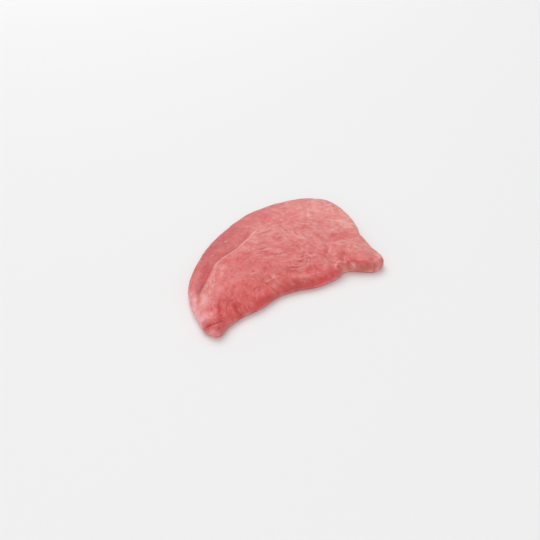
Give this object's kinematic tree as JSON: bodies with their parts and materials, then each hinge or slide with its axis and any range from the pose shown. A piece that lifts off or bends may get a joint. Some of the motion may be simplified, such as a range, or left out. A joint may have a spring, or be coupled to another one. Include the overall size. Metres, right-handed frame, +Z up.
{
  "type": "veal escalope",
  "caption": "Raw veal escalope: a flat boneless half-moon slice with a raised inner muscle, a seam step and a short turned-out tail.",
  "frame": {"origin": "on the ground, under the middle of the slice's length and width", "axes": "+X along the front edge from the narrow tip to the tail, +Y from the front edge to the round back, +Z up from the flat underside"},
  "size_m": [0.1625, 0.1193, 0.0142],
  "materials": {
    "raw_veal": "moist raw veal, salmon pink with a soft sheen, rose red along the seam and the cut front edge, paler film and fat at the ends"
  },
  "bodies": {
    "root": {"escalope": "raw_veal"}
  },
  "joints": []
}
